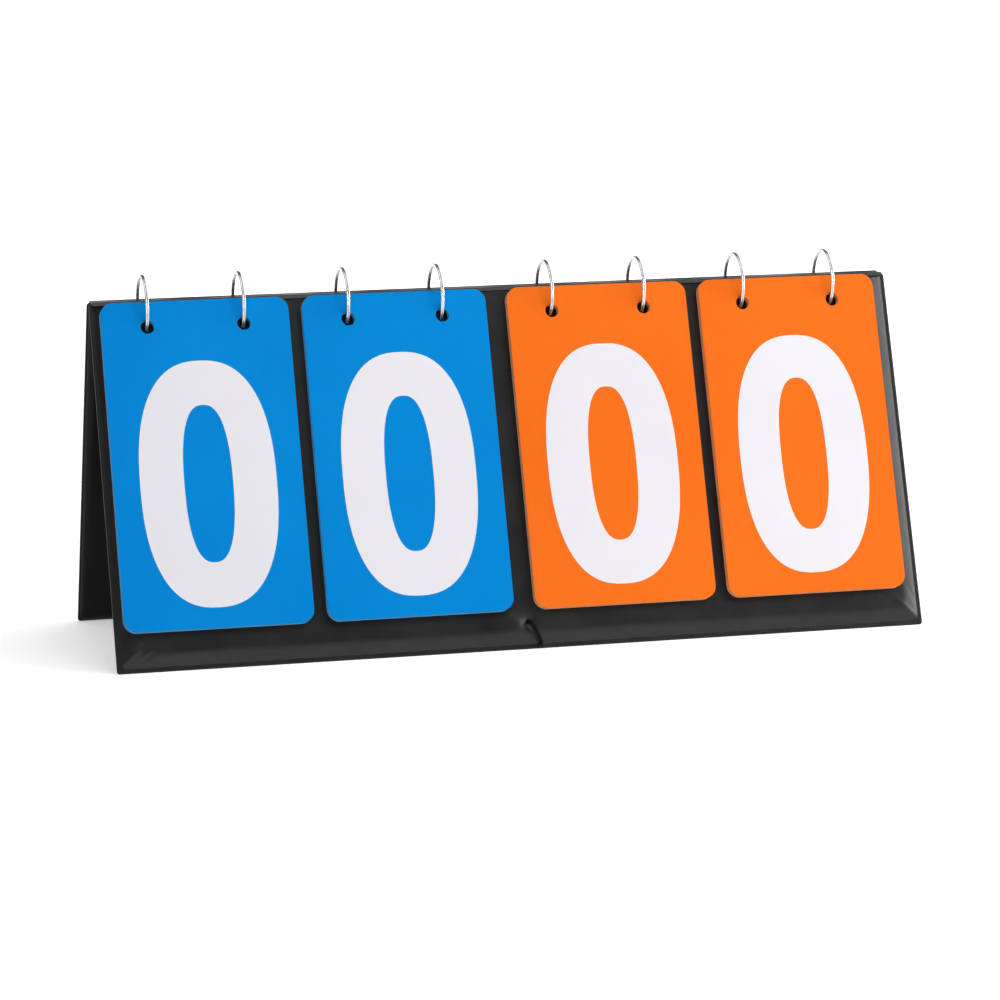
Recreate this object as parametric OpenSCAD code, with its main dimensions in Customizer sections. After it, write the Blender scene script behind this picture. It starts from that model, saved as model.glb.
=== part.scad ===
// Tabletop flip scoreboard: an A-frame of two padded panels hinged along the top, with four
// stacks of number leaves hung on wire rings that pass through both panels.
// X runs along the board, -Y is the side with the leaves, +Z is up, the floor is z = 0.

/* [Stand] */
// Length of each panel
panel_w = 385; // [372:1:420]
// Height of each panel, measured up its slope
panel_h = 171.3; // [168:0.1:190]
// Thickness of a padded panel
panel_t = 4.6; // [4.4:0.1:5.4]
// Lean of each panel from upright, in degrees
lean = 20; // [18:0.5:22]
// Depth of the spine between the outer faces of the panels
spine_depth = 10; // [9.6:0.1:11]
// Width of the flat sealed rim round a panel
rim_w = 1.6; // [1:0.1:2]
// Thickness of the sealed rim
rim_t = 1.2; // [0.8:0.1:1.4]
// Corner radius of the rim
rim_corner_r = 4; // [2:0.5:6]
// Thickness of the spine strip
spine_t = 0.6; // [0.4:0.1:0.8]

/* [Panel filling] */
// Thickness of the stiff board inside a panel
board_t = 2.3; // [2:0.1:2.4]
// Thickness of the foam sheet over the board
foam_t = 0.9; // [0.5:0.1:1]
// Distance from the panel's edge to the board's edge
board_inset = 6; // [5:0.5:9]
// Thickness of the vinyl skin
skin_t = 0.6; // [0.5:0.05:0.65]

/* [Leaves] */
// Width of a leaf
leaf_w = 87.3; // [80:0.1:90]
// Height of a leaf
leaf_h = 152.2; // [140:0.1:156]
// Thickness of a leaf
leaf_t = 0.32; // [0.2:0.01:0.34]
// Corner radius of a leaf
leaf_corner_r = 6; // [3:0.5:8]
// Leaves in one stack
leaf_count = 10; // [10:1:10]
// Distance from one leaf's back to the next one's back
leaf_pitch = 0.35; // [0.34:0.01:0.36]
// Distance of a leaf's top edge below the panel's top edge
leaf_drop = 1.4; // [1.2:0.1:3]
// Distance between stacks of one colour
stack_pitch = 93.8; // [92:0.1:95]
// Distance between the two middle stacks
middle_pitch = 97.6; // [95:0.1:100]
// Offset of all the stacks from the board's centre
stack_shift = -2.17; // [-3:0.01:3]

/* [Rings] */
// Radius of a ring at the middle of its wire
ring_r = 14.15; // [14.1:0.05:14.3]
// Thickness of the ring across both turns of wire
ring_wire = 1.6; // [1.4:0.1:1.6]
// Depth of the ring's axis below the top of the panels
ring_drop = 3.3; // [3.2:0.05:3.4]
// Distance of a ring from the middle of its stack
ring_half_gap = 22.4; // [20:0.1:24]
// Radius of the ring holes in a leaf
leaf_hole_r = 3.2; // [3.1:0.1:3.5]
// Distance of the ring holes below a leaf's top edge
leaf_hole_drop = 11.8; // [11.6:0.1:12.2]
// Radius of the ring holes in a panel
panel_hole_r = 3; // [2.6:0.1:3.5]

/* [Tie cord] */
// Diameter of the cord that holds the stand open
cord_d = 1.6; // [1.2:0.1:1.6]
// Radius of the cord's hole in each panel
cord_hole_r = 1.4; // [1.2:0.1:1.8]
// Height of the cord's hole up the slope
cord_hole_v = 12.5; // [12.5:0.5:12.5]

/* [Hidden] */
$fn = 64;
COLOURS = ["blue", "orange"];
PLACES = ["tens", "units"];
SIDES = ["left", "right"];
STACKS = [for (c = COLOURS) for (p = PLACES) str(c, "_", p)];

BLUE = [0, 0.55, 0.88];
ORANGE = [1, 0.45, 0.1];
VINYL = [0.12, 0.12, 0.12];

// The rim's lower corner is pressed flat on the floor by this much
floor_press = 0.3;
base_z = (panel_t + rim_t) / 2 * sin(lean) - floor_press;
base_y = spine_depth / 2 + panel_h * sin(lean);
top_z = base_z + panel_h * cos(lean);
ring_axis_z = top_z - ring_drop;
edge_r = panel_t / 2;
eps = 0.01;

// Distance down the slope, from the panel's top, at which a ring crosses a plane that lies
// off millimetres outside the panel's face
function ring_crossing(off) =
    let (reach = spine_depth / 2 * cos(lean) + ring_drop * sin(lean) + off,
         foot = ring_drop * cos(lean) - spine_depth / 2 * sin(lean))
    foot + sqrt(ring_r * ring_r - reach * reach);
panel_hole_v = panel_h - (ring_crossing(0) + ring_crossing(-panel_t)) / 2;

// The rear nine leaves lie close together and the front one, free to flip, hangs clear
stack_gap = 0.2;
front_leaf_off = 4.0;
function leaf_off(k) =
    k == 0 ? front_leaf_off : stack_gap + (leaf_count - 1 - k) * leaf_pitch;
leaf_v = panel_h - leaf_drop - leaf_h / 2;
function stack_x(i) =
    stack_shift + (i < 2 ? -1 : 1) * (middle_pitch / 2 + (i == 0 || i == 3 ? stack_pitch : 0));

// Notch in the bottom edge of each panel where the cord turns under it
notch_x = 5.3;
notch_w = 2.6;
notch_v = 3.4;
knot_r = 2.1;
knot_off = -panel_t - sqrt(knot_r * knot_r - cord_hole_r * cord_hole_r) - 0.02;

// Half of the cord's route, from the knot behind the front panel to the middle of the stand
CORD_HALF = [
    [0, -52.7, 10], [0, -55, 10.9], [0, -58, 12], [0.3, -60.3, 12.6], [1, -62.1, 12.1],
    [2, -63.2, 10.4], [3.2, -63.5, 7.6], [4.3, -63.5, 5], [5, -63.45, 2.9], [5.3, -61.6, 1.5],
    [5.3, -59, 1.3], [5.3, -50, 1.2], [5.3, -30, 1.1], [5.3, 0, 1.1]];
CORD_ROUTE = concat(
    CORD_HALF,
    [for (i = [len(CORD_HALF) - 2:-1:0]) [CORD_HALF[i][0], -CORD_HALF[i][1], CORD_HALF[i][2]]]);
cord_sides = 8;

// Places children drawn with x along the panel, y up its slope and z out of its face
module on_front() {
    translate([0, -base_y, base_z]) rotate([90 - lean, 0, 0]) children();
}

module on_back() {
    mirror([0, 1, 0]) on_front() children();
}

// Rectangle with round corners, centred on x, from y0 to y1
module rounded_outline(w, y0, y1, r) {
    translate([-w / 2 + r, y0]) square([w - 2 * r, y1 - y0]);
    translate([-w / 2, y0 + r]) square([w, y1 - y0 - 2 * r]);
    for (x = [-w / 2 + r, w / 2 - r], y = [y0 + r, y1 - r]) translate([x, y]) circle(r);
}

// Section of a padded panel: a bar with half-round edges
module padded_section(length) {
    square([length - 2 * edge_r, panel_t], center = true);
    for (s = [-1, 1]) translate([s * (length / 2 - edge_r), 0]) circle(edge_r);
}

module padded_slab() {
    body_w = panel_w - 2 * rim_w;
    body_h = panel_h - rim_w;
    translate([0, rim_w + body_h / 2, -panel_t / 2]) intersection() {
        rotate([90, 0, 90]) linear_extrude(panel_w, center = true) padded_section(body_h);
        rotate([90, 0, 0]) linear_extrude(panel_h, center = true) padded_section(body_w);
    }
}

module sealed_rim() {
    translate([0, 0, -(panel_t + rim_t) / 2]) linear_extrude(rim_t)
        rounded_outline(panel_w, 0, panel_h - edge_r - rim_w, rim_corner_r);
}

module ring_holes(r) {
    for (i = [0:3], s = [-1, 1]) translate([stack_x(i) + s * ring_half_gap, panel_hole_v, -panel_t - 1])
        cylinder(r = r, h = panel_t + 2);
}

// Plate that fills the panel between two depths below its face
module filling(depth, t, clearance) {
    inset = board_inset - clearance;
    translate([0, 0, -depth - t]) linear_extrude(t)
        rounded_outline(panel_w - 2 * inset, inset, panel_h - inset, 2);
}

module cover() {
    difference() {
        union() {
            padded_slab();
            sealed_rim();
        }
        filling(skin_t, panel_t - 2 * skin_t, 0.5);
        ring_holes(panel_hole_r);
        translate([0, cord_hole_v, -panel_t - 1]) cylinder(r = cord_hole_r, h = panel_t + 2);
        translate([notch_x - notch_w / 2, -1, -panel_t - 1]) cube([notch_w, notch_v + 1, panel_t + 2]);
    }
}

module above_floor() {
    difference() {
        children();
        translate([-panel_w, -2 * base_y, -10]) cube([2 * panel_w, 4 * base_y, 10]);
    }
}

module board() {
    difference() {
        filling(skin_t + foam_t + 0.15, board_t, 0);
        ring_holes(panel_hole_r + 0.5);
        translate([0, cord_hole_v, -panel_t]) cylinder(r = cord_hole_r + 0.3, h = panel_t);
    }
}

module foam() {
    difference() {
        filling(skin_t + 0.05, foam_t, 0);
        ring_holes(panel_hole_r + 0.5);
        translate([0, cord_hole_v, -panel_t]) cylinder(r = cord_hole_r + 0.3, h = panel_t);
    }
}

module front_cover() { color(VINYL) above_floor() on_front() cover(); }
module back_cover() { color(VINYL) above_floor() on_back() cover(); }
module front_board() { color("tan") on_front() board(); }
module back_board() { color("tan") on_back() board(); }
module front_foam() { color("white") on_front() foam(); }
module back_foam() { color("white") on_back() foam(); }

// Outline of the two panels' rounded top edges and the space between them, grown by grow
module top_edges(grow) {
    y = spine_depth / 2 + edge_r * sin(lean) - edge_r * cos(lean);
    z = top_z - edge_r * cos(lean) - edge_r * sin(lean);
    for (s = [-1, 1]) translate([s * y, z]) circle(edge_r + grow);
    translate([-y, z - edge_r - grow]) square([2 * y, 2 * (edge_r + grow)]);
}

module spine_hinge() {
    seat = 0.05;
    keep_z = top_z - edge_r * (cos(lean) + sin(lean)) + edge_r + seat - 0.2;
    color(VINYL) rotate([90, 0, 90]) linear_extrude(panel_w - 2 * rim_w, center = true)
        difference() {
            top_edges(seat + spine_t);
            top_edges(seat);
            translate([-spine_depth, keep_z - 20]) square([2 * spine_depth, 20]);
        }
}

// One leaf: leaf 0 shows in front and carries the lowest number
module leaf(stack, k) {
    color(stack < 2 ? BLUE : ORANGE) on_front()
        translate([stack_x(stack), leaf_v, leaf_off(k)]) linear_extrude(leaf_t) difference() {
            rounded_outline(leaf_w, -leaf_h / 2, leaf_h / 2, leaf_corner_r);
            for (s = [-1, 1]) translate([s * ring_half_gap, leaf_h / 2 - leaf_hole_drop])
                circle(leaf_hole_r);
        }
}

// One turn of the ring's wire, side by side with the other, open over gap_angle
module wire_turn(side, gap_from) {
    turn_w = ring_wire / 2;
    gap_angle = 8;
    rotate([0, 0, gap_from + gap_angle]) rotate_extrude(angle = 360 - gap_angle)
        translate([ring_r, side * turn_w / 2]) {
            square([ring_wire - turn_w, turn_w], center = true);
            for (s = [-1, 1]) translate([s * (ring_wire - turn_w) / 2, 0]) circle(turn_w / 2);
        }
}

// Split ring of two turns, standing upright through the holes of both panels
module ring(stack, side) {
    color("silver") translate([stack_x(stack) + side * ring_half_gap, 0, ring_axis_z])
        rotate([90, 0, 90]) {
            wire_turn(-1, 262);
            wire_turn(1, 280);
        }
}

// Tube swept along a list of points, with flat ends
function unit(a) = a / norm(a);
function tangent(p, i) = unit(p[min(i + 1, len(p) - 1)] - p[max(i - 1, 0)]);
function tube_ring(p, i, r, sides) =
    let (t = tangent(p, i), a = unit(cross(t, [1, 0.13, 0.21])), b = cross(t, a))
    [for (k = [0:sides - 1]) p[i] + r * (cos(360 * k / sides) * a + sin(360 * k / sides) * b)];
module tube(p, d, sides) {
    n = len(p);
    points = [for (i = [0:n - 1]) each tube_ring(p, i, d / 2, sides)];
    walls = [for (i = [0:n - 2], k = [0:sides - 1])
        let (a = i * sides + k, b = i * sides + (k + 1) % sides) each
        [[a, b, b + sides], [a, b + sides, a + sides]]];
    first = [for (k = [sides - 1:-1:0]) k];
    last = [for (k = [0:sides - 1]) (n - 1) * sides + k];
    polyhedron(points, concat(walls, [first], [last]), convexity = 8);
}

module tie_cord() {
    color("black") difference() {
        tube(CORD_ROUTE, cord_d, cord_sides);
        on_front() knot_ball(knot_r + eps);
        on_back() knot_ball(knot_r + eps);
    }
}

module knot_ball(r) {
    translate([0, cord_hole_v, knot_off]) sphere(r);
}

module front_knot() { color("black") on_front() knot_ball(knot_r); }
module back_knot() { color("black") on_back() knot_ball(knot_r); }

front_cover();
back_cover();
front_board();
back_board();
front_foam();
back_foam();
spine_hinge();
tie_cord();
front_knot();
back_knot();
for (i = [0:3], k = [0:leaf_count - 1])
    leaf(i, k);
for (i = [0:3], s = [0, 1])
    ring(i, 2 * s - 1);
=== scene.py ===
import math

import bmesh
import bpy
import numpy as np
from mathutils import Matrix, Vector


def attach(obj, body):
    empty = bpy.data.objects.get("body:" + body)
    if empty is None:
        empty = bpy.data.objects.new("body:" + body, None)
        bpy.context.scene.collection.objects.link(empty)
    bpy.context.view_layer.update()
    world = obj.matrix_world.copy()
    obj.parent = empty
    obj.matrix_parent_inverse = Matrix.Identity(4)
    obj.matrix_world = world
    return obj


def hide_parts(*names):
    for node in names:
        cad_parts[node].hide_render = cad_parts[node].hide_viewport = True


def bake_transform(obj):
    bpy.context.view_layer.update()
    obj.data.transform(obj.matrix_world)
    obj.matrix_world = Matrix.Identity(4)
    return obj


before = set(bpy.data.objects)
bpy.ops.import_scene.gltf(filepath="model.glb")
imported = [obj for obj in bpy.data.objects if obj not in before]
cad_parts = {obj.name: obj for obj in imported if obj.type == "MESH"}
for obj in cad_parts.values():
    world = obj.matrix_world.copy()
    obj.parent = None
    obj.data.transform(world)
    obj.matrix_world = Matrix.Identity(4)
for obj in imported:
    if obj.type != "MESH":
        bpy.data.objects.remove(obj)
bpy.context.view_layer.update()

MM = 0.001

# Sizes of the stand, in millimetres, as in the part's source
PANEL_W = 385.0
PANEL_H = 171.3
PANEL_T = 4.6
LEAN = math.radians(20)
SPINE_DEPTH = 10.0
RIM_W = 1.6
RIM_T = 1.2
FLOOR_PRESS = 0.3
BOARD_INSET = 6.0
SKIN_T = 0.6
BASE_Z = (PANEL_T + RIM_T) / 2 * math.sin(LEAN) - FLOOR_PRESS
BASE_Y = SPINE_DEPTH / 2 + PANEL_H * math.sin(LEAN)
TOP_Z = BASE_Z + PANEL_H * math.cos(LEAN)

# Sizes of the leaves, rings and cord, in millimetres, as in the part's source
LEAF_H = 152.2
LEAF_T = 0.32
LEAF_DROP = 1.4
LEAF_COUNT = 10
LEAF_PITCH = 0.35
FRONT_LEAF_OFF = 4.0
STACK_GAP = 0.2
STACK_PITCH = 93.8
MIDDLE_PITCH = 97.6
STACK_SHIFT = -2.17
RING_R = 14.15
RING_DROP = 3.3
RING_HALF_GAP = 22.4
PANEL_HOLE_R = 3.0
CORD_D = 1.6
CORD_HOLE_R = 1.4
CORD_HOLE_V = 12.5
NOTCH_X = 5.3
KNOT_R = 2.1

FRONT = -1
BACK = 1
STACKS = ("blue_tens", "blue_units", "orange_tens", "orange_units")


def place(side, u, v, off):
    """Point of a panel: u along it, v up its slope, off out of its face, in metres."""
    y = -BASE_Y + v * math.sin(LEAN) - off * math.cos(LEAN)
    z = BASE_Z + v * math.cos(LEAN) + off * math.sin(LEAN)
    return u * MM, (y if side == FRONT else -y) * MM, z * MM


def stack_x(i):
    """Middle of a stack of leaves along the panel, in millimetres."""
    reach = MIDDLE_PITCH / 2 + (STACK_PITCH if i in (0, 3) else 0)
    return STACK_SHIFT + (-reach if i < 2 else reach)


def ring_crossing(off):
    """Distance down the slope at which a ring crosses a plane off outside the face."""
    reach = SPINE_DEPTH / 2 * math.cos(LEAN) + RING_DROP * math.sin(LEAN) + off
    foot = RING_DROP * math.cos(LEAN) - SPINE_DEPTH / 2 * math.sin(LEAN)
    return foot + math.sqrt(RING_R**2 - reach**2)


PANEL_HOLE_V = PANEL_H - (ring_crossing(0) + ring_crossing(-PANEL_T)) / 2

# Camera at the photograph's angle, with lens and sensor in millimetres
CAMERA_AT = (-0.44518, -1.75044, 0.38009)
CAMERA_AZIMUTH = math.radians(-14.325)
CAMERA_ELEVATION = math.radians(10.068)
CAMERA_ROLL = math.radians(-0.477)
CAMERA_LENS = 139.07
SENSOR_W = 36
CLIP_END = 20


def add_camera():
    camera = bpy.data.objects.new("camera", bpy.data.cameras.new("camera"))
    camera.data.lens = CAMERA_LENS
    camera.data.sensor_width = SENSOR_W
    camera.data.clip_end = CLIP_END
    a, e = CAMERA_AZIMUTH, CAMERA_ELEVATION
    back = Vector((math.sin(a) * math.cos(e), -math.cos(a) * math.cos(e), math.sin(e)))
    right = Vector((0, 0, 1)).cross(back).normalized()
    up = back.cross(right)
    turn = Matrix((right, up, back)).transposed() @ Matrix.Rotation(CAMERA_ROLL, 3, "Z")
    camera.matrix_world = Matrix.Translation(CAMERA_AT) @ turn.to_4x4()
    bpy.context.scene.collection.objects.link(camera)
    bpy.context.scene.camera = camera


# Meshes
SHARP_ANGLE = math.radians(50)
WELD_DIST = 0.001 * MM


def new_object(name, vertices, faces, material, smooth=True):
    mesh = bpy.data.meshes.new(name)
    mesh.from_pydata(vertices, [], faces)
    mesh.update()
    piece = bpy.data.objects.new(name, mesh)
    bpy.context.scene.collection.objects.link(piece)
    mesh.materials.append(material)
    if smooth:
        mesh.shade_smooth()
    return piece


def face_outward(mesh, weld=False):
    """Turns the faces outward; with weld, joins the points that coincide first."""
    bm = bmesh.new()
    bm.from_mesh(mesh)
    if weld:
        bmesh.ops.remove_doubles(bm, verts=bm.verts, dist=WELD_DIST)
    bmesh.ops.recalc_face_normals(bm, faces=bm.faces)
    bm.to_mesh(mesh)
    bm.free()


# Parts of materials
def nodes_of(material):
    material.use_nodes = True
    tree = material.node_tree
    return tree, tree.nodes["Principled BSDF"]


def texture_space(tree, scale=(1, 1, 1)):
    coords = tree.nodes.new("ShaderNodeTexCoord")
    mapping = tree.nodes.new("ShaderNodeMapping")
    mapping.inputs["Scale"].default_value = scale
    tree.links.new(coords.outputs["Object"], mapping.inputs["Vector"])
    return mapping.outputs["Vector"]


def noise(tree, vector, scale, detail):
    node = tree.nodes.new("ShaderNodeTexNoise")
    node.inputs["Scale"].default_value = scale
    node.inputs["Detail"].default_value = detail
    tree.links.new(vector, node.inputs["Vector"])
    return node.outputs["Fac"]


def grey(value):
    return (value,) * 3


def mottle(tree, vector, scale, detail, low, high, span=(0.3, 0.7)):
    """A colour that goes from low to high where a noise goes through span."""
    node = tree.nodes.new("ShaderNodeValToRGB")
    for element, position, colour in zip(node.color_ramp.elements, span, (low, high)):
        element.position = position
        element.color = (*colour, 1)
    tree.links.new(noise(tree, vector, scale, detail), node.inputs["Fac"])
    return node.outputs["Color"]


def map_range(tree, value, from_span, to_span, kind="LINEAR"):
    node = tree.nodes.new("ShaderNodeMapRange")
    node.interpolation_type = kind
    sockets = ("From Min", "From Max", "To Min", "To Max")
    for socket, number in zip(sockets, (*from_span, *to_span)):
        node.inputs[socket].default_value = number
    tree.links.new(value, node.inputs["Value"])
    return node.outputs["Result"]


def bump(tree, height, distance, strength, before=None):
    node = tree.nodes.new("ShaderNodeBump")
    node.inputs["Distance"].default_value = distance
    node.inputs["Strength"].default_value = strength
    tree.links.new(height, node.inputs["Height"])
    if before:
        tree.links.new(before, node.inputs["Normal"])
    return node.outputs["Normal"]


# Materials of the stand, the leaves, the rings and the cord
GRAIN_SCALE = 1500
# Range of the normal's upward part over which the painted shade inside the stand fades in
INSIDE_TILT = (-0.32, -0.12)
EDGE_TILT = 0.6


def painted_shade_inside(tree, inside, outside):
    """Specular level that drops where a surface leans over the floor, inside the stand: painted shade,
    dimming the reflection there as the shade under the stand would.
    """
    coords = tree.nodes.new("ShaderNodeTexCoord")
    axes = tree.nodes.new("ShaderNodeSeparateXYZ")
    tree.links.new(coords.outputs["Normal"], axes.inputs["Vector"])
    return map_range(tree, axes.outputs["Z"], INSIDE_TILT, (inside, outside))


def vinyl_material():
    """Black vinyl: a fine pebbled grain, slow tone changes and a satin gloss, with painted shade that dims
    its reflection inside the stand.
    """
    material = bpy.data.materials.new("vinyl")
    tree, shader = nodes_of(material)
    space = texture_space(tree)
    colour = mottle(
        tree, space, scale=22, detail=4, low=(0.0060, 0.0057, 0.0062), high=(0.0105, 0.0100, 0.0107),
    )
    gloss = mottle(tree, space, scale=60, detail=5, low=grey(0.29), high=grey(0.40))
    cells = tree.nodes.new("ShaderNodeTexVoronoi")
    cells.inputs["Scale"].default_value = GRAIN_SCALE
    tree.links.new(space, cells.inputs["Vector"])
    grain = bump(tree, cells.outputs["Distance"], distance=0.00008, strength=0.35)
    soft = noise(tree, space, scale=140, detail=3)
    normal = bump(tree, soft, distance=0.0006, strength=0.18, before=grain)
    tree.links.new(colour, shader.inputs["Base Color"])
    tree.links.new(gloss, shader.inputs["Roughness"])
    tree.links.new(normal, shader.inputs["Normal"])
    # Painted shade: the specular level drops on surfaces that face down inside the stand
    tree.links.new(painted_shade_inside(tree, inside=0.12, outside=0.4), shader.inputs["Specular IOR Level"])
    return material


def pale_edge_and_highlight(tree, colour, edge_core_and_highlight_colour):
    """Shows a paler colour where a surface faces neither out of nor into its panel: the sheet's paler core,
    and a painted highlight along its cut edges.
    """
    coords = tree.nodes.new("ShaderNodeTexCoord")
    dot = tree.nodes.new("ShaderNodeVectorMath")
    dot.operation = "DOT_PRODUCT"
    dot.inputs[1].default_value = (0, -math.cos(LEAN), math.sin(LEAN))
    tree.links.new(coords.outputs["Normal"], dot.inputs[0])
    size = tree.nodes.new("ShaderNodeMath")
    size.operation = "ABSOLUTE"
    tree.links.new(dot.outputs["Value"], size.inputs[0])
    edge = tree.nodes.new("ShaderNodeMath")
    edge.operation = "LESS_THAN"
    edge.inputs[1].default_value = EDGE_TILT
    tree.links.new(size.outputs["Value"], edge.inputs[0])
    mix = tree.nodes.new("ShaderNodeMix")
    mix.data_type = "RGBA"
    mix.inputs["B"].default_value = (*edge_core_and_highlight_colour, 1)
    tree.links.new(edge.outputs["Value"], mix.inputs["Factor"])
    tree.links.new(colour, mix.inputs["A"])
    return mix.outputs["Result"]


def leaf_material(name, low, high, edge_core_and_highlight_colour=None):
    """Printed plastic sheet: an even colour with faint mottling and fine scuffs."""
    material = bpy.data.materials.new(name)
    tree, shader = nodes_of(material)
    space = texture_space(tree)
    colour = mottle(tree, space, scale=14, detail=5, low=low, high=high)
    # The paler edge colour is partly the sheet's core and partly a painted highlight along the leaves'
    # edges
    if edge_core_and_highlight_colour:
        colour = pale_edge_and_highlight(tree, colour, edge_core_and_highlight_colour)
    gloss = mottle(tree, space, scale=90, detail=4, low=grey(0.38), high=grey(0.52))
    scuffs = noise(tree, space, scale=1800, detail=2)
    fine = bump(tree, scuffs, distance=0.00002, strength=0.25)
    waves = noise(tree, texture_space(tree, (1, 1, 0.4)), scale=9, detail=1)
    normal = bump(tree, waves, distance=0.0012, strength=0.12, before=fine)
    tree.links.new(colour, shader.inputs["Base Color"])
    tree.links.new(gloss, shader.inputs["Roughness"])
    tree.links.new(normal, shader.inputs["Normal"])
    shader.inputs["Specular IOR Level"].default_value = 0.03
    return material


def metal_material():
    """Bright plated spring wire with drawing lines and small stains."""
    material = bpy.data.materials.new("ring_wire")
    tree, shader = nodes_of(material)
    space = texture_space(tree)
    colour = mottle(tree, space, scale=320, detail=4, low=(0.56, 0.55, 0.54), high=(0.74, 0.73, 0.73))
    gloss = mottle(tree, space, scale=900, detail=3, low=grey(0.16), high=grey(0.32))
    lines = noise(tree, texture_space(tree, (9, 1, 1)), scale=2500, detail=2)
    tree.links.new(colour, shader.inputs["Base Color"])
    tree.links.new(gloss, shader.inputs["Roughness"])
    tree.links.new(bump(tree, lines, distance=0.00003, strength=0.3), shader.inputs["Normal"])
    shader.inputs["Metallic"].default_value = 1
    return material


def fibre_material(name, low, high, scale, rough):
    """Matt fibrous stuff: cord, stiff board or foam."""
    material = bpy.data.materials.new(name)
    tree, shader = nodes_of(material)
    space = texture_space(tree)
    colour = mottle(tree, space, scale=scale, detail=5, low=low, high=high, span=(0.35, 0.65))
    fibres = noise(tree, space, scale=scale * 2, detail=3)
    tree.links.new(colour, shader.inputs["Base Color"])
    tree.links.new(bump(tree, fibres, distance=0.0002, strength=0.4), shader.inputs["Normal"])
    shader.inputs["Roughness"].default_value = rough
    shader.inputs["Specular IOR Level"].default_value = 0.1
    return material


VINYL = vinyl_material()
# The edge colours below are partly the sheets' paler core and partly painted highlight
BLUE = leaf_material(
    "blue_leaf", (0.0011, 0.245, 0.690), (0.0016, 0.268, 0.735), edge_core_and_highlight_colour=(0.22, 0.52, 0.80),
)
ORANGE = leaf_material(
    "orange_leaf", (0.950, 0.168, 0.012), (0.985, 0.186, 0.016), edge_core_and_highlight_colour=(0.96, 0.52, 0.30),
)
PRINT = leaf_material("white_print", (0.850, 0.835, 0.875), (0.885, 0.872, 0.910))
METAL = metal_material()
CORD = fibre_material("cord", grey(0.003), grey(0.010), scale=3000, rough=0.85)
BOARD = fibre_material("board", (0.060, 0.056, 0.052), (0.105, 0.098, 0.090), scale=700, rough=0.9)
FOAM = fibre_material("foam", (0.020, 0.020, 0.021), (0.038, 0.038, 0.040), scale=1200, rough=0.95)


# Cord and knots: the route of the cord's front half, and sizes in millimetres
CORD_HALF = (
    (0, -52.7, 10), (0, -55, 10.9), (0, -58, 12), (0.3, -60.3, 12.6), (1, -62.1, 12.1),
    (2, -63.2, 10.4), (3.2, -63.5, 7.6), (4.3, -63.5, 5), (5, -63.45, 2.9), (5.3, -61.6, 1.5),
    (5.3, -59, 1.3), (5.3, -50, 1.2), (5.3, -30, 1.1), (5.3, 0, 1.1),
)
CORD_SIDES = 16
CORD_STEPS = 6
CORD_LAY = 0.9
GROOVE = 0.06
KNOT_GAP = 0.02
KNOT_RING = 0.85
KNOT_SWELL = 0.42
KNOT_DEPTH = 1.4
KNOT_WIRE_R = 0.72
KNOT_STEPS = 72
KNOT_SIDES = 12
KNOT_LAY = 0.6


def smooth_route(points, steps):
    """Catmull-Rom curve through the points."""
    p = [np.array(q, float) for q in points]
    p = [2 * p[0] - p[1]] + p + [2 * p[-1] - p[-2]]
    out = []
    for i in range(1, len(p) - 2):
        for k in range(steps):
            t = k / steps
            a = 2 * p[i] + (p[i + 1] - p[i - 1]) * t
            b = (2 * p[i - 1] - 5 * p[i] + 4 * p[i + 1] - p[i + 2]) * t**2
            c = (3 * p[i] - p[i - 1] - 3 * p[i + 1] + p[i + 2]) * t**3
            out.append((a + b + c) / 2)
    return out + [p[-2]]


def tube(name, path, radius, sides, closed=False, lay=0.0):
    """Cord along a path in metres; lay is the twist of its four shallow grooves, per point."""
    path = [Vector(q) for q in path]
    n = len(path)
    vertices, faces = [], []
    across = None
    for i, point in enumerate(path):
        after = path[(i + 1) % n] if closed else path[min(i + 1, n - 1)]
        before = path[i - 1] if closed or i else path[0]
        along = (after - before).normalized()
        if across is None:
            across = along.orthogonal()
        across = (across - along * across.dot(along)).normalized()
        third = along.cross(across)
        for k in range(sides):
            angle = 2 * math.pi * k / sides
            r = radius * (1 - GROOVE * (1 + math.cos(4 * angle + lay * i)) / 2)
            vertices.append(point + r * (math.cos(angle) * across + math.sin(angle) * third))
    for i in range(n if closed else n - 1):
        for k in range(sides):
            a, b = i * sides + k, i * sides + (k + 1) % sides
            c, d = ((i + 1) % n) * sides + (k + 1) % sides, ((i + 1) % n) * sides + k
            faces.append((a, b, c, d))
    if not closed:
        faces.append(tuple(range(sides - 1, -1, -1)))
        faces.append(tuple(range((n - 1) * sides, n * sides)))
    return new_object(name, vertices, faces, CORD)


def add_cord():
    back_half = [(x, -y, z) for x, y, z in reversed(CORD_HALF[:-1])]
    route = smooth_route(list(CORD_HALF) + back_half, CORD_STEPS)
    path = [tuple(q * MM) for q in route]
    cord = tube("tie_cord_braid", path, CORD_D / 2 * MM, CORD_SIDES, lay=CORD_LAY)
    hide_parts("tie_cord")
    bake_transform(cord)


def add_knot(side, name, node, body):
    """Overhand knot: a trefoil of cord, seated over the hole inside the panel."""
    seat = -PANEL_T - math.sqrt(KNOT_R**2 - CORD_HOLE_R**2) - KNOT_GAP
    centre = Vector(place(side, 0, CORD_HOLE_V, seat))
    path = []
    for k in range(KNOT_STEPS):
        t = 2 * math.pi * k / KNOT_STEPS
        r = KNOT_RING + KNOT_SWELL * math.cos(3 * t)
        depth = KNOT_SWELL * KNOT_DEPTH * math.sin(3 * t)
        path.append(centre + Vector((r * math.cos(2 * t), depth, r * math.sin(2 * t))) * MM)
    knot = tube(name, path, KNOT_WIRE_R * MM, KNOT_SIDES, closed=True, lay=KNOT_LAY)
    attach(knot, body)
    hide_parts(node)


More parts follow.
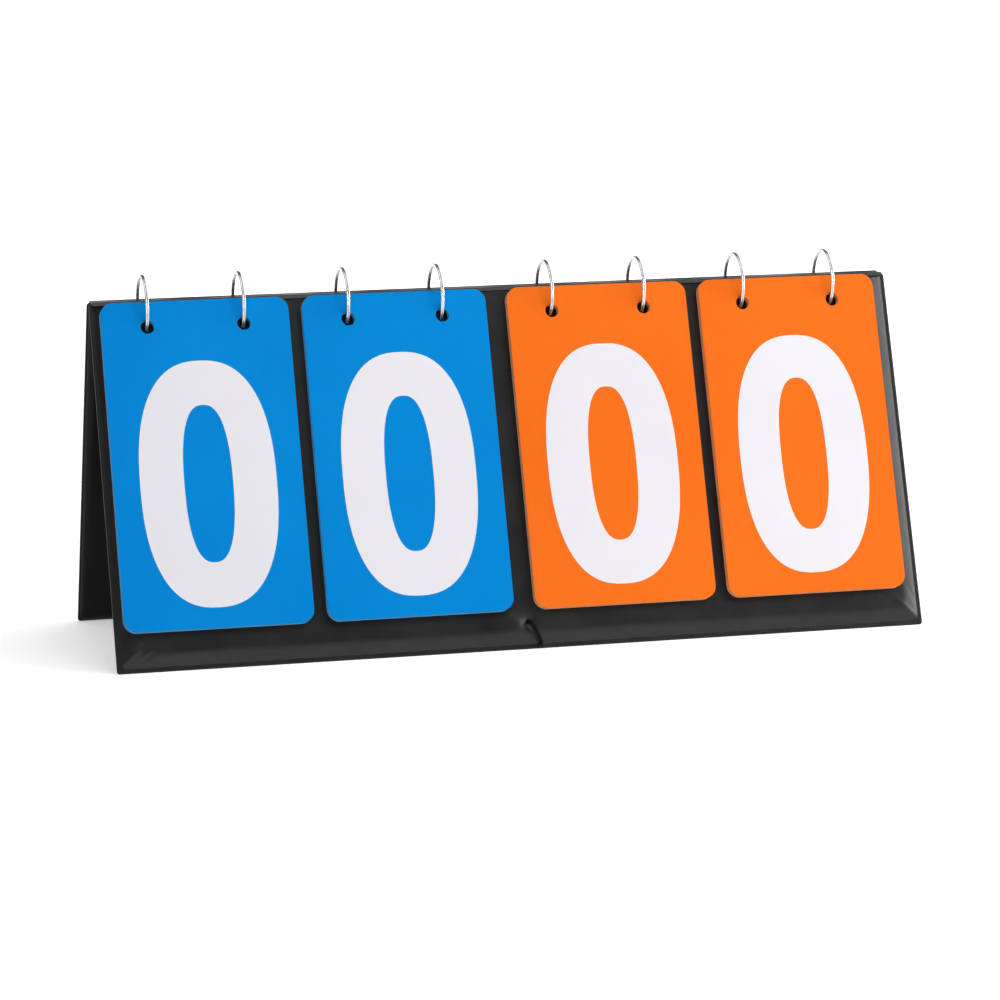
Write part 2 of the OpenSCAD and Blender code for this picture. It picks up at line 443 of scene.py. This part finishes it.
# Padded panels, in millimetres: the welded rim and the slopes of the padding
EDGE_R = PANEL_T / 2
MID_OFF = -PANEL_T / 2
BEAD_REACH = 0.6
PAD_START = 0.7
PAD_RISE = 8.5
BACK_RISE = 4.5
HIP_SOFT = 1.0
TIP_R = 1.6

# Limits of the padded face: over the foam, and under the leaves
FOAM_EDGE = BOARD_INSET - 1
FOAM_OFF = -0.72
LEAVES_V = 17
LEAVES_OFF = 0.05


def spaced(stops):
    """Coordinates from a list of (end, step) spans, starting at the first end."""
    out = [stops[0][0]]
    for end, step in stops[1:]:
        count = max(1, round((end - out[-1]) / step))
        start = out[-1]
        out += [start + (end - start) * (k + 1) / count for k in range(count)]
    return np.array(out)


def panel_grid():
    """Grid that is fine at the rim and round the cord's hole, as spans of (end, step)."""
    half, top = PANEL_W / 2, PANEL_H
    u = spaced([
        (0, 0), (9, 0.55), (16, 1.2), (half - 20, 1.7), (half - 7, 0.9), (half - 3, 0.4), (half, 0.2),
    ])
    u = np.concatenate([-u[:0:-1], u])
    v = spaced([(0, 0), (3, 0.2), (7, 0.4), (20, 0.8), (top - 8, 2.2), (top - 4, 0.6), (top, 0.2)])
    return np.meshgrid(u, v, indexing="ij")


def rounded(u, v):
    """Pulls the corners of the grid in to small round tips."""
    r = TIP_R
    a = np.clip((np.abs(u) - (PANEL_W / 2 - r)) / r, 0, 1)
    low = np.clip((r - v) / r, 0, 1)
    high = np.clip((v - (PANEL_H - r)) / r, 0, 1)
    b = np.maximum(low, high)
    shrink = np.where((a > 0) & (b > 0), np.maximum(a, b) / np.maximum(np.hypot(a, b), 1e-9), 1)
    new_u = np.sign(u) * (np.minimum(np.abs(u), PANEL_W / 2 - r) + r * a * shrink)
    new_v = np.where(high > 0, PANEL_H - r + r * high * shrink, v)
    new_v = np.where(low > 0, r - r * low * shrink, new_v)
    return new_u, new_v


def quarter(t):
    """Height of a quarter circle of radius 1 that starts to rise at 0."""
    t = np.clip(t, 0, 1)
    return np.sqrt(1 - (1 - t) ** 2)


def half_thickness(u, v, soft_slope):
    """From the middle of the panel to its padded face, or to its flatter inner face."""
    side = PANEL_W / 2 - np.abs(u)
    near = -np.log(np.exp(-side / HIP_SOFT) + np.exp(-v / HIP_SOFT)) * HIP_SOFT
    near = np.maximum(near, 0)
    top = PANEL_H - v
    bead = RIM_T / 2 * quarter(np.minimum(np.minimum(side, v), top) / BEAD_REACH)
    if soft_slope:
        rise = np.sin(math.pi / 2 * np.clip((near - PAD_START) / PAD_RISE, 0, 1))
    else:
        rise = quarter((near - PAD_START) / BACK_RISE)
    return np.maximum(bead, EDGE_R * rise * quarter(top / EDGE_R))


# Unevenness of the padded face, in millimetres. WAVE is height, length along, length up and
# shift; RIPPLE is height, length along and length up; STRIP is height, place and reach.
WAVE = (0.09, 31, 23, 1.3)
RIPPLE = (0.05, 11.7, 17)
FACE_SINK = 0.14
STRIP = (0.3, 10.5, 6.5)

# Crest and two small folds at a bottom corner: distance from the side, height, angle in
# degrees from upright, length, width and depth
CORNER_FOLDS = (
    (7.0, 7.4, 47, 7.0, 1.9, -0.32),
    (13.5, 6.0, 60, 4.5, 1.4, 0.22),
    (4.5, 15.5, 24, 5.5, 1.3, 0.16),
)
RIDGE = 0.9
CREASE_SEED = 11
LOW_GATHERS = 34
SIDE_GATHERS = 16
SIDE_GATHER_DEPTH = 0.1


def crease(u, v, at, angle, length, width, depth):
    """A soft fold: a valley along a short line with a low ridge on each side."""
    du, dv = u - at[0], v - at[1]
    along = du * math.cos(angle) + dv * math.sin(angle)
    across = -du * math.sin(angle) + dv * math.cos(angle)
    q = (across / width) ** 2
    return -depth * (1 - RIDGE * q) * np.exp(-q) * np.exp(-((along / length) ** 4))


def relief(u, v, side):
    """Unevenness of the padded face, in millimetres."""
    half = PANEL_W / 2
    height, along, up, shift = WAVE
    h = height * np.sin(u / along + shift) * np.sin(v / up)
    height, along, up = RIPPLE
    h += height * np.sin(u / along + v / up)
    h -= FACE_SINK
    # The strip below the leaves swells a little more than the part that they lie on
    height, at_v, reach = STRIP
    h += height * np.exp(-(((v - at_v) / reach) ** 2))
    for s in (-1, 1):
        for inset, at_v, turn, length, width, depth in CORNER_FOLDS:
            h += crease(u, v, (s * (half - inset), at_v), math.radians(90 + s * turn), length, width, depth)
    # Short gathers at the welded edges
    random = np.random.default_rng(CREASE_SEED + side)
    for _ in range(LOW_GATHERS):
        at = (random.uniform(-half + 14, half - 14), random.uniform(3.5, 6.5))
        angle = math.radians(90 + random.uniform(-35, 35))
        depth = random.uniform(0.04, 0.16)
        h += crease(u, v, at, angle, random.uniform(1.5, 3.8), random.uniform(0.7, 1.4), depth)
    for _ in range(SIDE_GATHERS):
        at_u = random.choice((-1, 1)) * (half - random.uniform(3.5, 6))
        at = (at_u, random.uniform(20, PANEL_H - 12))
        angle = math.radians(random.uniform(-30, 30))
        length, width = random.uniform(1.5, 3.5), random.uniform(0.7, 1.4)
        h += crease(u, v, at, angle, length, width, SIDE_GATHER_DEPTH)
    return h


# Marks of the cord in the padding, in millimetres. PUCKER is depth and reach; BULGE is height,
# place along, place below the hole, reach along and reach up; DENT is depth and reach.
PUCKER = (0.75, 3.4)
BULGE = (0.5, -6.5, 1.5, 3.8, 5)
DENT = (0.22, 1.3)
DENT_STEPS = 9
DENT_END_V = 1.5


def cord_dent(u, v):
    """The pucker and bulge by the cord's hole and the groove down to the slot."""
    depth, reach = PUCKER
    r = np.hypot(u, v - CORD_HOLE_V)
    h = -depth * np.exp(-((r / reach) ** 2))
    height, at_u, below, reach_u, reach_v = BULGE
    away = ((u - at_u) / reach_u) ** 2 + ((v - CORD_HOLE_V + below) / reach_v) ** 2
    h += height * np.exp(-away)
    depth, reach = DENT
    for t in np.linspace(0, 1, DENT_STEPS):
        at_u, at_v = NOTCH_X * t, CORD_HOLE_V * (1 - t) + DENT_END_V * t
        h -= depth * np.exp(-(((u - at_u) ** 2 + (v - at_v) ** 2) / reach**2))
    return h


# Cutters of the covers, in millimetres: how far they reach, the cord's pit and grip, the slot
CUT_LOW = -PANEL_T - 3
CUT_HIGH = 4
PIT_DEPTH = 1.12
CORD_GRIP_R = 0.92
SLOT_W = 1.8
SLOT_LOW = 0.78
SLOT_HIGH = 3.2
SLOT_STEP = 0.1
SPACE_ROOM = 0.5
SPACE_TOP = -SKIN_T - 0.7
HOLE_SIDES = 40
BLOCK_FACES = ((0, 1, 3, 2), (4, 6, 7, 5), (0, 4, 5, 1), (2, 3, 7, 6), (0, 2, 6, 4), (1, 5, 7, 3))
# These keep the cutters' corners off the lines of the covers' grid
HOLE_TURN = 0.0713
PIT_SHIFT = (0.013, 0.017)


def add_hole(bm, side, u, v, profile):
    """Round cutter that runs through (off, radius) steps."""
    rings = []
    for off, r in profile:
        ring = []
        for k in range(HOLE_SIDES):
            a = 2 * math.pi * k / HOLE_SIDES + HOLE_TURN
            ring.append(bm.verts.new(place(side, u + r * math.cos(a), v + r * math.sin(a), off)))
        rings.append(ring)
    for low, high in zip(rings, rings[1:]):
        for k in range(HOLE_SIDES):
            m = (k + 1) % HOLE_SIDES
            bm.faces.new((low[k], low[m], high[m], high[k]))
    bm.faces.new(rings[0])
    bm.faces.new(rings[-1])


def add_block(bm, side, u_span, v_span, off_span):
    """Cutter with flat sides, between two places each way."""
    corners = [bm.verts.new(place(side, u, v, off)) for u in u_span for v in v_span for off in off_span]
    for face in BLOCK_FACES:
        bm.faces.new([corners[k] for k in face])


def as_object(bm, name):
    bmesh.ops.recalc_face_normals(bm, faces=bm.faces)
    mesh = bpy.data.meshes.new(name)
    bm.to_mesh(mesh)
    bm.free()
    piece = bpy.data.objects.new(name, mesh)
    bpy.context.scene.collection.objects.link(piece)
    return piece


def holes_cutter(side, name):
    """Cutter for a panel's ring holes, cord slot and space for the board."""
    bm = bmesh.new()
    for i in range(len(STACKS)):
        for s in (-1, 1):
            through = ((CUT_LOW, PANEL_HOLE_R), (CUT_HIGH, PANEL_HOLE_R))
            add_hole(bm, side, stack_x(i) + s * RING_HALF_GAP, PANEL_HOLE_V, through)
    slot = (NOTCH_X - SLOT_W / 2, NOTCH_X + SLOT_W / 2)
    add_block(bm, side, slot, (SLOT_LOW, SLOT_HIGH), (CUT_LOW + SLOT_STEP, CUT_HIGH - SLOT_STEP))
    inset = BOARD_INSET - SPACE_ROOM
    half = PANEL_W / 2 - inset
    add_block(bm, side, (-half, half), (inset, PANEL_H - inset), (SKIN_T - PANEL_T, SPACE_TOP))
    return as_object(bm, name)


def cord_hole_cutter(side, name):
    """Cutter for a panel's cord hole: a pit in the face that narrows to the cord."""
    bm = bmesh.new()
    grip = ((CUT_LOW, CORD_GRIP_R), (-PIT_DEPTH, CORD_GRIP_R))
    pit = ((-PIT_DEPTH, CORD_HOLE_R), (CUT_HIGH, CORD_HOLE_R))
    add_hole(bm, side, PIT_SHIFT[0], CORD_HOLE_V + PIT_SHIFT[1], grip + pit)
    return as_object(bm, name)


def cut(piece, tool):
    """Cuts tool out of piece for good, and removes tool."""
    modifier = piece.modifiers.new("cut", "BOOLEAN")
    modifier.operation = "DIFFERENCE"
    modifier.solver = "EXACT"
    modifier.object = tool
    depsgraph = bpy.context.evaluated_depsgraph_get()
    mesh = bpy.data.meshes.new_from_object(piece.evaluated_get(depsgraph))
    if len(mesh.vertices) < len(piece.data.vertices):
        raise RuntimeError(f"{piece.name} was lost when {tool.name} was cut out of it")
    piece.modifiers.clear()
    piece.data = mesh
    bpy.data.objects.remove(tool)
    mesh.set_sharp_from_angle(angle=SHARP_ANGLE)


def cover_offsets(side, grid_u, grid_v, u, v):
    """How far out of the panel's face its outer and inner layers lie, in millimetres."""
    thick = half_thickness(grid_u, grid_v, soft_slope=True)
    free = np.clip((thick - RIM_T / 2) / (EDGE_R - RIM_T / 2), 0, 1)
    outer = MID_OFF + thick + (relief(u, v, side) + cord_dent(u, v)) * free
    over_foam = np.minimum(PANEL_W / 2 - np.abs(u), v) > FOAM_EDGE
    outer = np.where(over_foam, np.maximum(outer, FOAM_OFF), outer)
    outer = np.where(v > LEAVES_V, np.minimum(outer, LEAVES_OFF), outer)
    inner = MID_OFF - half_thickness(grid_u, grid_v, soft_slope=False)
    # Neither layer goes through the floor
    press = -BASE_Z / math.sin(LEAN) - v / math.tan(LEAN)
    return np.maximum(outer, press), np.maximum(inner, press)


def cover_faces(n, m, flip):
    """Faces of two layers of n by m points and of the strip between their rims."""
    faces = []
    for layer in (0, 1):
        for i in range(n - 1):
            for j in range(m - 1):
                a = layer * n * m + i * m + j
                quad = (a, a + m, a + m + 1, a + 1)
                faces.append(quad[::-1] if (layer == 1) != flip else quad)
    rim = [(i, 0) for i in range(n)] + [(n - 1, j) for j in range(1, m)]
    rim += [(i, m - 1) for i in range(n - 2, -1, -1)] + [(0, j) for j in range(m - 2, 0, -1)]
    for (i, j), (next_i, next_j) in zip(rim, rim[1:] + rim[:1]):
        a, b = i * m + j, next_i * m + next_j
        quad = (a, a + n * m, b + n * m, b)
        faces.append(quad[::-1] if flip else quad)
    return faces


def add_panel(side, name, node, body):
    grid_u, grid_v = panel_grid()
    n, m = grid_u.shape
    u, v = rounded(grid_u, grid_v)
    vertices = [
        place(side, u[i, j], v[i, j], off[i, j])
        for off in cover_offsets(side, grid_u, grid_v, u, v) for i in range(n) for j in range(m)
    ]
    piece = new_object(name, vertices, cover_faces(n, m, flip=side == BACK), VINYL)
    face_outward(piece.data, weld=True)
    cut(piece, holes_cutter(side, name + "_holes"))
    cut(piece, cord_hole_cutter(side, name + "_cord_hole"))
    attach(piece, body)
    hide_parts(node)


# Spine strip, in millimetres: its two faces as gaps from the panels, the arc that wraps a
# panel's top edge, and the flat between. A wave is height, length and shift.
SPINE_INSIDE = 0.08
SPINE_OUTSIDE = 0.62
SPINE_Y = SPINE_DEPTH / 2 + EDGE_R * math.sin(LEAN) - EDGE_R * math.cos(LEAN)
SPINE_Z = TOP_Z - EDGE_R * (math.cos(LEAN) + math.sin(LEAN))
SPINE_WRAP = math.radians(58)
SPINE_STEPS = 7
SPINE_SAG = 0.28
SPINE_SPANS = 150
SPINE_WAVES = ((0.12, 13.0, 0), (0.07, 4.7, 1))


def spine_section(grow, wobble):
    """Line across the strip from the front panel to the back one, as (y, z) points."""
    line = []
    for k in range(SPINE_STEPS + 1):
        a = math.pi / 2 + SPINE_WRAP * (1 - k / SPINE_STEPS)
        r = EDGE_R + grow
        line.append((-SPINE_Y + r * math.cos(a), SPINE_Z + r * math.sin(a)))
    for k in range(1, SPINE_STEPS):
        t = k / SPINE_STEPS
        z = SPINE_Z + EDGE_R + grow - (SPINE_SAG + wobble) * math.sin(math.pi * t)
        line.append((-SPINE_Y + 2 * SPINE_Y * t, z))
    return line + [(-y, z) for y, z in reversed(line[: SPINE_STEPS + 1])]


def add_spine():
    """Soft strip of vinyl that joins the panels' top edges."""
    half = PANEL_W / 2 - RIM_W
    loop = 2 * len(spine_section(0, 0))
    vertices, faces = [], []
    for i in range(SPINE_SPANS + 1):
        x = -half + 2 * half * i / SPINE_SPANS
        wobble = sum(height * math.sin(x / length + shift) for height, length, shift in SPINE_WAVES)
        ring = spine_section(SPINE_OUTSIDE, wobble) + spine_section(SPINE_INSIDE, wobble)[::-1]
        vertices += [(x * MM, y * MM, z * MM) for y, z in ring]
    for i in range(SPINE_SPANS):
        for k in range(loop):
            a, b = i * loop + k, i * loop + (k + 1) % loop
            faces.append((a, a + loop, b + loop, b))
    faces.append(tuple(range(loop)))
    faces.append(tuple(range((SPINE_SPANS + 1) * loop - 1, SPINE_SPANS * loop - 1, -1)))
    strip = new_object("spine_strip", vertices, faces, VINYL)
    strip.data.set_sharp_from_angle(angle=SHARP_ANGLE)
    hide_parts("spine_hinge")
    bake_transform(strip)


# Printed digits, in millimetres
DIGIT_W = 63.0
DIGIT_H = 114.4
DIGIT_DROP = 9.6
COUNTER_W = 22.5
COUNTER_H = 73.0
OUTLINE_POWER = 2.45
COUNTER_POWER = 2.5
STEM_W = 20.0
STEM_X = -6
FLAG_X = -25
PRINT_T = 0.012
PRINT_GAP = 0.003


def superellipse(width, height, power, count=96):
    points = []
    for k in range(count):
        t = 2 * math.pi * k / count
        c, s = math.cos(t), math.sin(t)
        x = width / 2 * math.copysign(abs(c) ** (2 / power), c)
        y = height / 2 * math.copysign(abs(s) ** (2 / power), s)
        points.append((x, y))
    return points


def digit_zero():
    """Outer outline, then the counter."""
    return [
        superellipse(DIGIT_W, DIGIT_H, OUTLINE_POWER), superellipse(COUNTER_W, COUNTER_H, COUNTER_POWER),
    ]


def digit_one():
    """Stem with a flag at its upper left."""
    top = DIGIT_H / 2
    stem = [(STEM_X, -top), (STEM_X + STEM_W, -top), (STEM_X + STEM_W, top), (-2, top)]
    flag = [(-7, top - 12), (-14, top - 20), (FLAG_X, top - 25), (FLAG_X, top - 40), (-14, top - 37)]
    return [stem + flag + [(STEM_X, top - 32)]]


def print_faces(outlines):
    """Faces of a thin skin: top and underside, and the walls along each outline."""
    total = sum(len(outline) for outline in outlines)
    n = len(outlines[0])
    faces = []
    if len(outlines) == 2:
        for a in range(n):
            b = (a + 1) % n
            faces.append((a, b, b + n, a + n))
            faces.append((a + total, a + n + total, b + n + total, b + total))
    else:
        faces.append(tuple(range(n)))
        faces.append(tuple(range(2 * n - 1, n - 1, -1)))
    start = 0
    for outline in outlines:
        n = len(outline)
        for k in range(n):
            a, b = start + k, start + (k + 1) % n
            faces.append((a, a + total, b + total, b))
        start += n
    return faces


def add_print(name, stack, leaf, outlines):
    """Ink on a leaf's face, as a thin raised skin."""
    off = FRONT_LEAF_OFF if leaf == 0 else STACK_GAP + (LEAF_COUNT - 1 - leaf) * LEAF_PITCH
    low = off + LEAF_T + PRINT_GAP
    mid_v = PANEL_H - LEAF_DROP - LEAF_H / 2 - DIGIT_DROP
    vertices = [
        place(FRONT, stack_x(stack) + x, mid_v + y, layer)
        for layer in (low + PRINT_T, low) for outline in outlines for x, y in outline
    ]
    piece = new_object(name, vertices, print_faces(outlines), PRINT, smooth=False)
    face_outward(piece.data)
    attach(piece, STACKS[stack] + "_front_leaf" if leaf == 0 else "front_panel")


def finish_of(node):
    """Material of a CAD node."""
    if "_ring_" in node:
        return METAL
    if "_leaf_" in node:
        return BLUE if node.startswith("blue") else ORANGE
    if node.endswith("_board"):
        return BOARD
    if node.endswith("_foam"):
        return FOAM
    return CORD if "cord" in node or "knot" in node else VINYL


# Floor, backdrop and light, in metres; a lamp is name, place, aim, size and watts
STAGE_SHADE = 0.94
STAGE_SIDES = 96
FLOOR_RADIUS = 12.0
FLOOR_Z = -0.0001
FLOOR_GLOW = 0.42
GLOW_NEAR = 0.45
GLOW_FAR = 1.3
WALL_RADIUS = FLOOR_RADIUS - 0.1
WALL_LOW = -0.0002
WALL_H = 3.0
ROOM_LIGHT = 0.15
LAMPS = (
    ("overhead", (0.3, -0.3, 1.8), (0, 0, 0), 3.0, 36.5),
    ("key", (1.55, -1.2, 0.85), (0, 0, 0.06), 0.6, 8.5),
    ("side", (1.6, -0.25, 0.42), (0.1, 0, 0.06), 0.75, 16.5),
)


def seen_only(tree, strength=None):
    """A strength, 1 if not given, for what is seen, mirrored or seen through, and 0 for light."""
    path = tree.nodes.new("ShaderNodeLightPath")
    total = path.outputs["Is Camera Ray"]
    for kind in ("Is Glossy Ray", "Is Transmission Ray"):
        add = tree.nodes.new("ShaderNodeMath")
        add.use_clamp = True
        tree.links.new(total, add.inputs[0])
        tree.links.new(path.outputs[kind], add.inputs[1])
        total = add.outputs["Value"]
    if strength is None:
        return total
    scale = tree.nodes.new("ShaderNodeMath")
    scale.operation = "MULTIPLY"
    tree.links.new(total, scale.inputs[0])
    tree.links.new(strength, scale.inputs[1])
    return scale.outputs["Value"]


def floor_glow(tree):
    """A little near the object, where its shadow falls, and plain white far from it."""
    length = tree.nodes.new("ShaderNodeVectorMath")
    length.operation = "LENGTH"
    tree.links.new(texture_space(tree), length.inputs[0])
    spans = (GLOW_NEAR, GLOW_FAR), (FLOOR_GLOW, 1)
    return seen_only(tree, map_range(tree, length.outputs["Value"], *spans, kind="SMOOTHSTEP"))


def stage_material(name, glow):
    """Pale matt surface, very slightly mottled; glow makes its emission strength."""
    material = bpy.data.materials.new(name)
    tree, shader = nodes_of(material)
    colour = mottle(
        tree, texture_space(tree), scale=3, detail=2, low=grey(STAGE_SHADE), high=grey(STAGE_SHADE * 1.01),
    )
    tree.links.new(colour, shader.inputs["Base Color"])
    tree.links.new(glow(tree), shader.inputs["Emission Strength"])
    shader.inputs["Emission Color"].default_value = (1, 1, 1, 1)
    shader.inputs["Roughness"].default_value = 0.9
    shader.inputs["Specular IOR Level"].default_value = 0.1
    return material


def stage_ring(radius, z):
    turns = [2 * math.pi * k / STAGE_SIDES for k in range(STAGE_SIDES)]
    return [(radius * math.cos(a), radius * math.sin(a), z) for a in turns]


def add_floor():
    corners = stage_ring(FLOOR_RADIUS, FLOOR_Z)
    faces = [tuple(range(STAGE_SIDES))]
    new_object("floor", corners, faces, stage_material("floor", floor_glow), smooth=False)


def add_backdrop():
    """White wall round the floor, for views from close to the floor's level."""
    corners = stage_ring(WALL_RADIUS, WALL_LOW) + stage_ring(WALL_RADIUS, WALL_H)
    n = STAGE_SIDES
    faces = [(k, k + n, (k + 1) % n + n, (k + 1) % n) for k in range(n)]
    new_object("backdrop", corners, faces, stage_material("backdrop", seen_only), smooth=False)


def add_area(name, at, aim, size, energy):
    light = bpy.data.objects.new(name, bpy.data.lights.new(name, "AREA"))
    light.data.shape = "DISK"
    light.data.size = size
    light.data.energy = energy
    way = Vector(aim) - Vector(at)
    light.matrix_world = Matrix.Translation(at) @ way.to_track_quat("-Z", "Y").to_matrix().to_4x4()
    bpy.context.scene.collection.objects.link(light)


def add_world():
    """A plain dim room: what is seen round the object is the floor and the backdrop."""
    world = bpy.data.worlds.new("studio")
    bpy.context.scene.world = world
    world.use_nodes = True
    background = world.node_tree.nodes["Background"]
    background.inputs["Strength"].default_value = ROOM_LIGHT
    background.inputs["Color"].default_value = (1, 1, 1, 1)


# The scene
add_camera()
add_cord()
add_knot(FRONT, "front_knot_tied", "front_knot", "front_panel")
add_knot(BACK, "back_knot_tied", "back_knot", "back_panel")
add_panel(FRONT, "front_padded_cover", "front_cover", "front_panel")
add_panel(BACK, "back_padded_cover", "back_cover", "back_panel")
add_spine()
for index, stack_name in enumerate(STACKS):
    add_print(stack_name + "_print_0", index, 0, digit_zero())
    add_print(stack_name + "_print_1", index, 1, digit_one())
for node_name, node_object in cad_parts.items():
    for material_slot in node_object.material_slots:
        material_slot.material = finish_of(node_name)
add_floor()
add_backdrop()
add_world()
for lamp in LAMPS:
    add_area(*lamp)

bpy.context.scene.view_settings.view_transform = "Standard"
